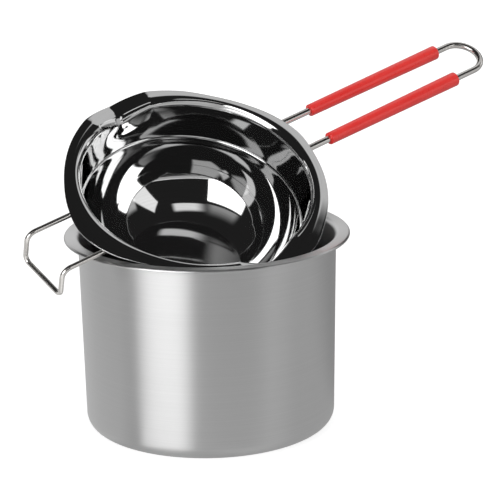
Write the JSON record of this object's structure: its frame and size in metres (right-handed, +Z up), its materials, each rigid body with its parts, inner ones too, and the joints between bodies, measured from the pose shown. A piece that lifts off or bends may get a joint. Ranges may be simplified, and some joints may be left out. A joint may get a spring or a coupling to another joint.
{
  "type": "double boiler pot",
  "caption": "Round steel water pot with a leaning, spouted melting bowl that lifts out by a long wire handle with red grip sleeves; a wire hook sits opposite the handle.",
  "frame": {"origin": "centre of the outer pot's base, on the surface it stands on", "axes": "+Z up along the pot's axis, +Y away from the viewer of the picture, +X to the viewer's right; the bowl's handle points up, right and away"},
  "size_m": [0.2601, 0.204, 0.186],
  "materials": {
    "pot_steel": "satin brushed",
    "bowl_steel": "mirror polished",
    "wire_steel": "polished",
    "grip_red": "semi gloss",
    "weld_steel": "as welded"
  },
  "bodies": {
    "pot": {"outer_pot": "pot_steel"},
    "bowl": {"melting_bowl": "bowl_steel", "handle_wire": "wire_steel", "upper_grip_sleeve": "grip_red", "lower_grip_sleeve": "grip_red", "hook_wire": "wire_steel", "handle_welds": "weld_steel", "hook_welds": "weld_steel"}
  },
  "joints": [
    {"name": "bowl_lift", "type": "slide", "parent": "pot", "child": "bowl", "axis": [0, 0, 1], "range_m": [0, 0.12]}
  ]
}
